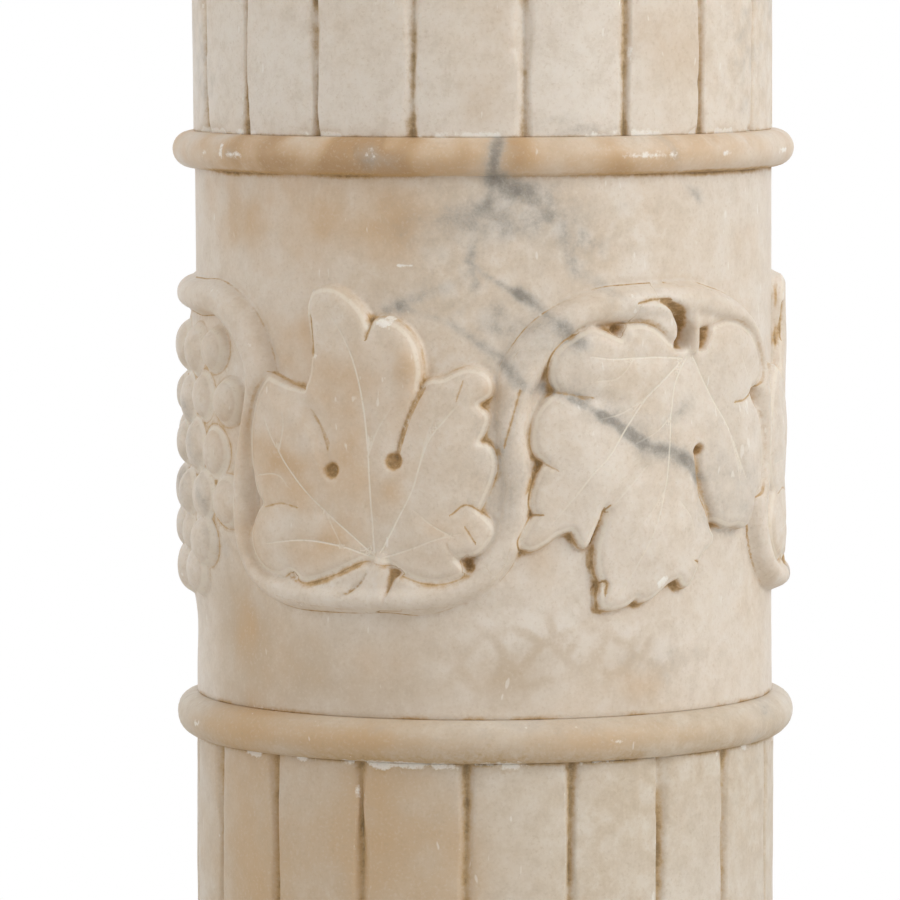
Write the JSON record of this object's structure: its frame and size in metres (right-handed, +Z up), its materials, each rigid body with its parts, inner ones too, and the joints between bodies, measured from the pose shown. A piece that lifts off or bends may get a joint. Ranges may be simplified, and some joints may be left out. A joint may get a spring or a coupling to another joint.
{
  "type": "doric column",
  "caption": "Free-standing round column with reeded shaft blocks, a drum carved with a vine, half-round rings, a square plinth and a square abacus; carries a statue or a bust.",
  "frame": {"origin": "middle of the plinth's underside, on the floor", "axes": "+Z up along the column; the front, with an upright and a hanging vine leaf, towards -Y"},
  "size_m": [0.3, 0.3, 1.057],
  "materials": {
    "cream_alabaster": "satin",
    "honey_alabaster": "satin",
    "veined_alabaster": "satin"
  },
  "bodies": {
    "root": {"base": "cream_alabaster", "lower_shaft": "honey_alabaster", "carved_drum": "veined_alabaster", "upper_shaft": "cream_alabaster", "capital": "cream_alabaster"}
  },
  "joints": []
}
